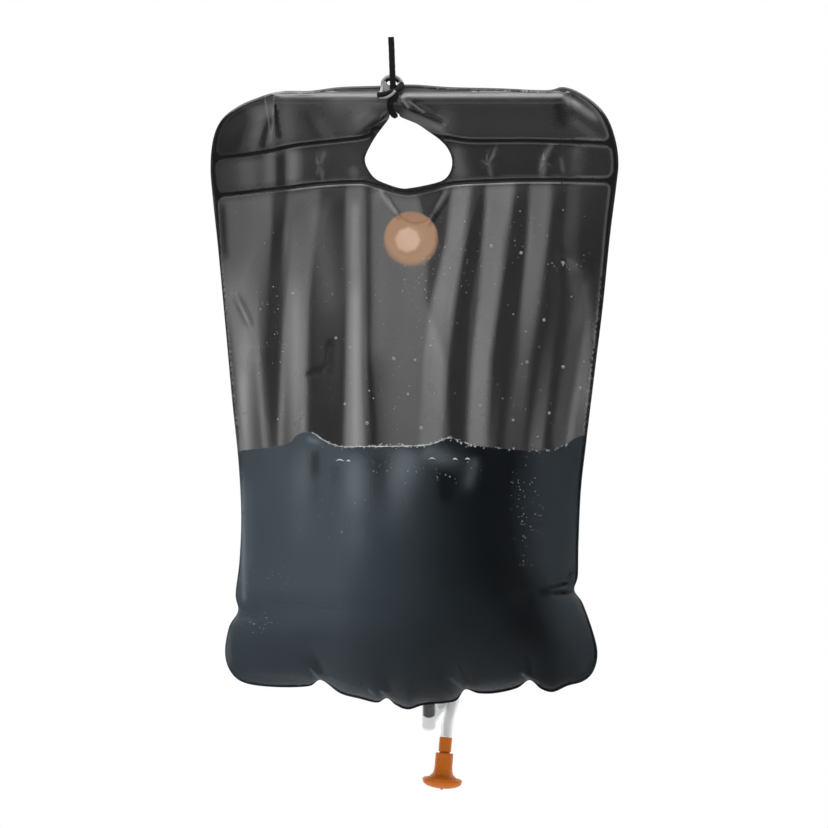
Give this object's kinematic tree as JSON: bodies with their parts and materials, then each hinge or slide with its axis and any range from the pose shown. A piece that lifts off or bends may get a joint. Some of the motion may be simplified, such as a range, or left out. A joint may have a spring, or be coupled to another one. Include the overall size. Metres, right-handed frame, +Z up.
{
  "type": "camp shower bag",
  "caption": "Hanging film water bag with a carry hole, handle bar, screw-capped fill valve, hose and push-pull spray head, slung from a rope and hook.",
  "frame": {"origin": "the upper end of the hanging rope, which carries the whole bag", "axes": "+Z up along the rope and the bag's height, X across the bag's width, +Y from the clear front film to the black back film with the fittings"},
  "size_m": [0.408, 0.1668, 0.7535],
  "materials": {
    "clear_film": "hazy clear film",
    "black_film": "glossy opaque film",
    "bar_plastic": "satin",
    "water": "clear liquid over a black film",
    "orange_plastic": "satin moulded",
    "pale_silicone": "satin",
    "steel_pin": "drawn wire",
    "black_plastic": "satin moulded",
    "clear_vinyl": "clear, slightly milky",
    "black_rubber": "satin",
    "grey_plastic": "satin moulded",
    "black_cord": "braided"
  },
  "bodies": {
    "bag": {"front_panel": "clear_film", "back_panel": "black_film", "water_fill": "water", "handle_bar": "bar_plastic", "valve_flange": "orange_plastic", "flap_hinge_pin": "steel_pin", "tether_strap": "orange_plastic", "outlet_spout": "black_plastic", "outlet_elbow": "clear_vinyl", "hose": "clear_vinyl", "hose_keeper": "black_film", "head_collar": "orange_plastic", "stem_o_ring": "black_rubber", "hook": "grey_plastic", "hanging_rope": "black_cord", "bar_lashing": "black_cord", "hook_bight": "black_cord"},
    "cap_ring": {"tether_ring": "orange_plastic"},
    "cap": {"fill_cap": "orange_plastic", "cap_gasket": "black_rubber"},
    "flap": {"flap_valve": "pale_silicone"},
    "sprayer": {"head_body": "orange_plastic", "spray_plate": "orange_plastic"}
  },
  "joints": [
    {"name": "cap_lift", "type": "slide", "parent": "bag", "child": "cap_ring", "axis": [0, 1, 0], "range_m": [0, 0.006]},
    {"name": "cap_turn", "type": "hinge", "parent": "cap_ring", "child": "cap", "pos_m": [0.02, 0.03, -0.2015], "axis": [0, 1, 0], "range_deg": [0, 720]},
    {"name": "flap_swing", "type": "hinge", "parent": "bag", "child": "flap", "pos_m": [0.02, 0.01775, -0.1865], "axis": [-1, 0, 0], "range_deg": [0, 30]},
    {"name": "head_slide", "type": "slide", "parent": "bag", "child": "sprayer", "axis": [-0.0854, 0, -0.9963], "range_m": [0, 0.006]}
  ],
  "couplings": [
    {"joint": "cap_lift", "follows": "cap_turn", "m_per_rad": 0.00047746}
  ]
}
